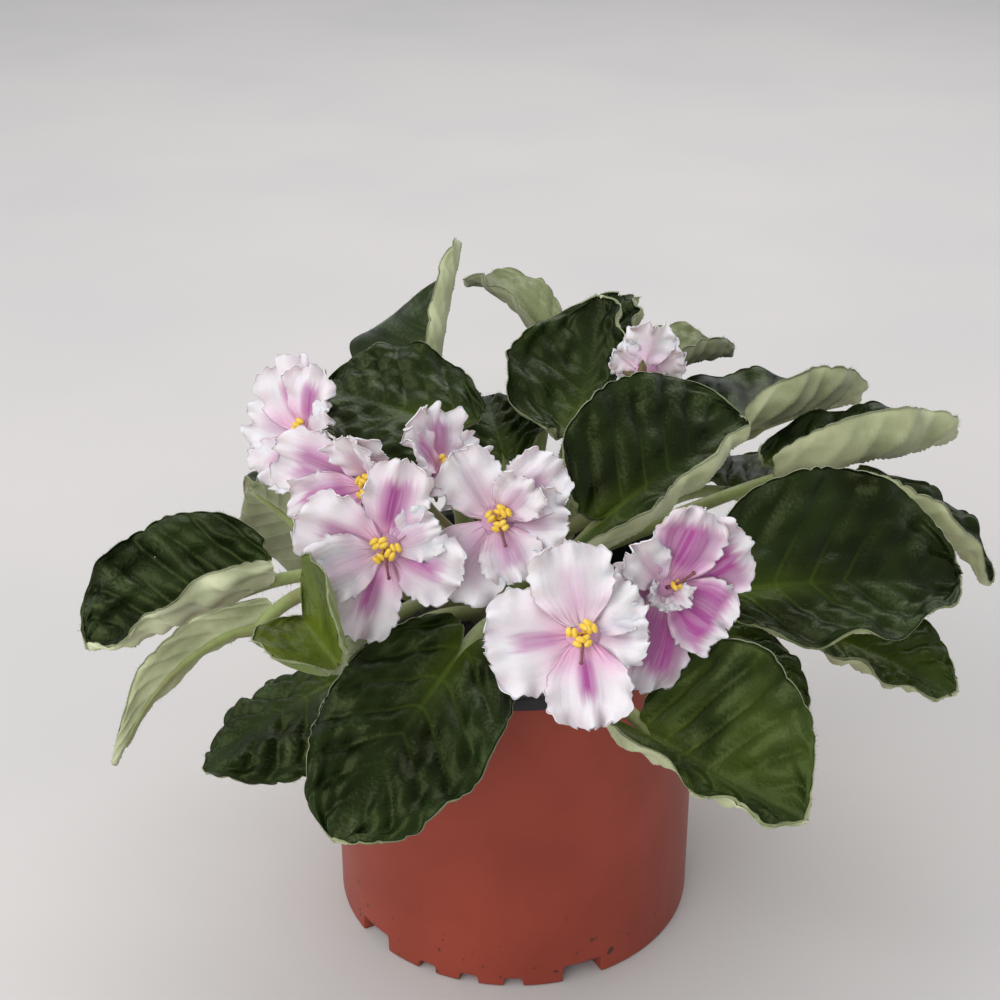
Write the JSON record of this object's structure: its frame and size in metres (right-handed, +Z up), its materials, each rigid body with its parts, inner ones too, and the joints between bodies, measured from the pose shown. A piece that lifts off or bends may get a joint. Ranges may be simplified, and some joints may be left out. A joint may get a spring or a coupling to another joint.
{
  "type": "potted african violet",
  "caption": "Potted African violet in bloom: a rosette of dark, cupped, hairy leaves with wavy edges and streaked ruffled blooms in a small round pot.",
  "frame": {"origin": "the middle of the pot's foot, on the surface that it stands on", "axes": "+Z up along the pot's axis, -Y towards the front, where most of the blooms face, +X to the right of the plant seen from the front"},
  "size_m": [0.2068, 0.184, 0.1419],
  "materials": {
    "pot": "satin",
    "soil": "crumbly",
    "leaf": "hairy",
    "young_leaf": "hairy",
    "stalk": "hairy",
    "petal": "soft",
    "anther": "soft"
  },
  "bodies": {
    "root": {"pot": "pot", "soil": "soil", "crown": "stalk", "leaf_left": "leaf", "leaf_left_low": "leaf", "leaf_left_back": "leaf", "leaf_young": "young_leaf", "leaf_front_left_low": "leaf", "leaf_front_left": "leaf", "leaf_front_right": "leaf", "leaf_right": "leaf", "leaf_right_low": "leaf", "leaf_right_under": "leaf", "leaf_far_right": "leaf", "leaf_back_right": "leaf", "leaf_upper_right": "leaf", "leaf_dome": "leaf", "leaf_middle_right": "leaf", "leaf_top": "leaf", "leaf_top_back": "leaf", "leaf_upper_left": "leaf", "leaf_back_left": "leaf", "leaf_back": "leaf", "leaf_middle_back": "leaf", "leaf_behind_left": "leaf", "leaf_behind": "leaf", "leaf_behind_right": "leaf", "leaf_behind_far_right": "leaf", "spray_left": "stalk", "spray_middle": "stalk", "spray_right": "stalk", "spray_back": "stalk", "bloom_far_left": "petal", "bloom_left": "petal", "bloom_front_left": "petal", "bloom_back_left": "petal", "bloom_middle": "petal", "bloom_front": "petal", "bloom_front_right": "petal", "bloom_back": "petal", "anthers_far_left": "anther", "anthers_left": "anther", "anthers_front_left": "anther", "anthers_back_left": "anther", "anthers_middle": "anther", "anthers_front": "anther", "anthers_front_right": "anther", "anthers_back": "anther"}
  },
  "joints": []
}
